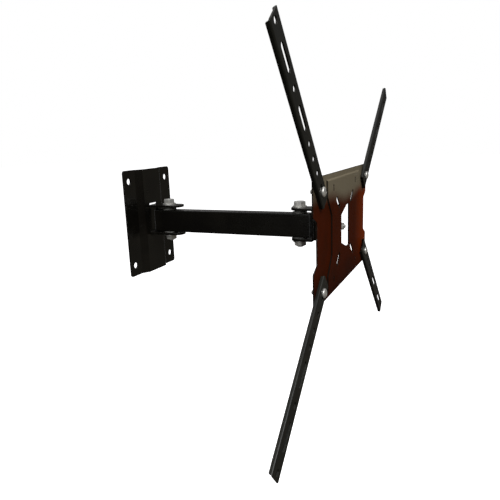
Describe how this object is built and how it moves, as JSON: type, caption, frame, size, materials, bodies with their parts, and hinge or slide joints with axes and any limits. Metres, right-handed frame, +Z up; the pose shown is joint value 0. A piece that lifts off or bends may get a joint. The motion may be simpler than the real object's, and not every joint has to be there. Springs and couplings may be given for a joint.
{
  "type": "full motion tv wall mount",
  "caption": "Articulated wall bracket: stamped wall plate, swivelling tube arm, tilting slotted screen plate and perforated extension bars that spread to reach a flat screen's screw holes.",
  "frame": {"origin": "centre of the wall plate's four-hole pattern, in the plane of its back face", "axes": "+Z up, +Y into the wall, the arm reaches out along -Y, +X to the right of someone facing the wall"},
  "size_m": [0.6824, 0.3814, 0.5128],
  "materials": {
    "frame_lacquer": "gloss black lacquer",
    "plate_lacquer": "gloss lacquer, dark red-brown with an olive-grey top",
    "bar_lacquer": "satin black lacquer",
    "zinc_steel": "bright zinc plate",
    "nylon": "natural nylon",
    "cap_plastic": "moulded black"
  },
  "bodies": {
    "wall": {"wall_plate": "frame_lacquer", "wall_clevis": "frame_lacquer", "wall_pivot_bolt": "zinc_steel", "wall_pivot_nut": "zinc_steel", "wall_pivot_washers": "zinc_steel"},
    "arm": {"arm_tube": "frame_lacquer", "arm_cap_wall": "cap_plastic", "arm_cap_head": "cap_plastic", "wall_sleeve": "zinc_steel", "head_sleeve": "zinc_steel", "wall_upper_bush": "nylon", "wall_lower_bush": "nylon", "head_upper_bush": "nylon", "head_lower_bush": "nylon"},
    "head": {"head_clevis": "frame_lacquer", "head_pivot_bolt": "zinc_steel", "head_pivot_nut": "zinc_steel", "head_pivot_washers": "zinc_steel", "tilt_yoke": "frame_lacquer", "tilt_bolt": "zinc_steel", "tilt_nut": "zinc_steel", "tilt_washers": "zinc_steel", "tilt_friction_washers": "nylon"},
    "tilt": {"tilt_tongue": "frame_lacquer", "level_bolt": "zinc_steel", "level_nut": "zinc_steel", "level_washer": "zinc_steel"},
    "screen": {"level_strap": "frame_lacquer", "vesa_plate": "plate_lacquer", "arm_bolts": "zinc_steel", "arm_spacers": "zinc_steel", "arm_washers": "zinc_steel", "arm_nuts": "zinc_steel"},
    "extension_upper_left": {"extension_arm_upper_left": "bar_lacquer"},
    "extension_upper_right": {"extension_arm_upper_right": "bar_lacquer"},
    "extension_lower_left": {"extension_arm_lower_left": "bar_lacquer"},
    "extension_lower_right": {"extension_arm_lower_right": "bar_lacquer"}
  },
  "joints": [
    {"name": "wall_swivel", "type": "hinge", "parent": "wall", "child": "arm", "pos_m": [0, -0.0464, 0], "axis": [0, 0, 1], "range_deg": [-90, 90]},
    {"name": "head_swivel", "type": "hinge", "parent": "arm", "child": "head", "pos_m": [0, -0.2978, 0], "axis": [0, 0, -1], "range_deg": [-90, 90]},
    {"name": "screen_tilt", "type": "hinge", "parent": "head", "child": "tilt", "pos_m": [0, -0.346, 0], "axis": [1, 0, 0], "range_deg": [-5, 15]},
    {"name": "screen_level", "type": "hinge", "parent": "tilt", "child": "screen", "pos_m": [0, -0.3638, 0], "axis": [0, 1, 0], "range_deg": [-3, 3]},
    {"name": "spread_upper_left", "type": "hinge", "parent": "screen", "child": "extension_upper_left", "pos_m": [-0.1385, -0.3763, 0.0695], "axis": [0, -1, 0], "range_deg": [-25, 30]},
    {"name": "spread_upper_right", "type": "hinge", "parent": "screen", "child": "extension_upper_right", "pos_m": [0.1385, -0.3763, 0.0695], "axis": [0, 1, 0], "range_deg": [-25, 30]},
    {"name": "spread_lower_left", "type": "hinge", "parent": "screen", "child": "extension_lower_left", "pos_m": [-0.1385, -0.3763, -0.0695], "axis": [0, 1, 0], "range_deg": [-25, 30]},
    {"name": "spread_lower_right", "type": "hinge", "parent": "screen", "child": "extension_lower_right", "pos_m": [0.1385, -0.3763, -0.0695], "axis": [0, -1, 0], "range_deg": [-25, 30]}
  ]
}
